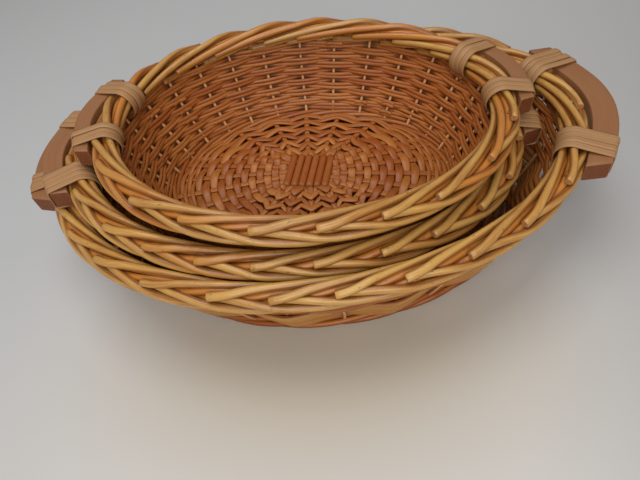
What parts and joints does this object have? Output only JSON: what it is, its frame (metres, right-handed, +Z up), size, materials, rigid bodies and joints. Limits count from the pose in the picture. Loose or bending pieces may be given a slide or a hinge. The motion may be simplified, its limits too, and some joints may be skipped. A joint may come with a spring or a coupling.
{
  "type": "nest of willow baskets",
  "caption": "Nest of shallow oval willow baskets with plaited borders and curved wooden handles lashed on with split skein; the smaller baskets lift out.",
  "frame": {"origin": "on the table, under the middle of the nest's box", "axes": "+X along the length of the large basket towards its right handle, +Y towards the back, +Z up"},
  "size_m": [0.4372, 0.2956, 0.1283],
  "materials": {
    "border_willow": "satin",
    "woven_willow": "satin",
    "base_willow": "satin",
    "handle_wood": "satin",
    "split_skein": "matte"
  },
  "bodies": {
    "large_basket": {"large_slath_stick_1": "base_willow", "large_slath_stick_2": "base_willow", "large_slath_stick_3": "base_willow", "large_slath_stick_4": "base_willow", "large_slath_stick_5": "base_willow", "large_slath_stick_6": "base_willow", "large_base_weave": "base_willow", "large_foot_wale": "woven_willow", "large_side_weave": "woven_willow", "large_border": "border_willow", "large_handle_left": "handle_wood", "large_lashing_left_front": "split_skein", "large_lashing_left_back": "split_skein", "large_handle_right": "handle_wood", "large_lashing_right_front": "split_skein", "large_lashing_right_back": "split_skein"},
    "medium_basket": {"medium_slath_stick_1": "base_willow", "medium_slath_stick_2": "base_willow", "medium_slath_stick_3": "base_willow", "medium_slath_stick_4": "base_willow", "medium_slath_stick_5": "base_willow", "medium_slath_stick_6": "base_willow", "medium_base_weave": "base_willow", "medium_foot_wale": "woven_willow", "medium_side_weave": "woven_willow", "medium_border": "border_willow", "medium_handle_left": "handle_wood", "medium_lashing_left_front": "split_skein", "medium_lashing_left_back": "split_skein", "medium_handle_right": "handle_wood", "medium_lashing_right_front": "split_skein", "medium_lashing_right_back": "split_skein"},
    "small_basket": {"small_slath_stick_1": "base_willow", "small_slath_stick_2": "base_willow", "small_slath_stick_3": "base_willow", "small_slath_stick_4": "base_willow", "small_slath_stick_5": "base_willow", "small_slath_stick_6": "base_willow", "small_base_weave": "base_willow", "small_foot_wale": "woven_willow", "small_side_weave": "woven_willow", "small_border": "border_willow", "small_handle_left": "handle_wood", "small_lashing_left_front": "split_skein", "small_lashing_left_back": "split_skein", "small_handle_right": "handle_wood", "small_lashing_right_front": "split_skein", "small_lashing_right_back": "split_skein"}
  },
  "joints": [
    {"name": "medium_lift", "type": "slide", "parent": "large_basket", "child": "medium_basket", "axis": [0, 0, 1], "range_m": [0, 0.12]},
    {"name": "small_lift", "type": "slide", "parent": "medium_basket", "child": "small_basket", "axis": [0, 0, 1], "range_m": [0, 0.12]}
  ]
}
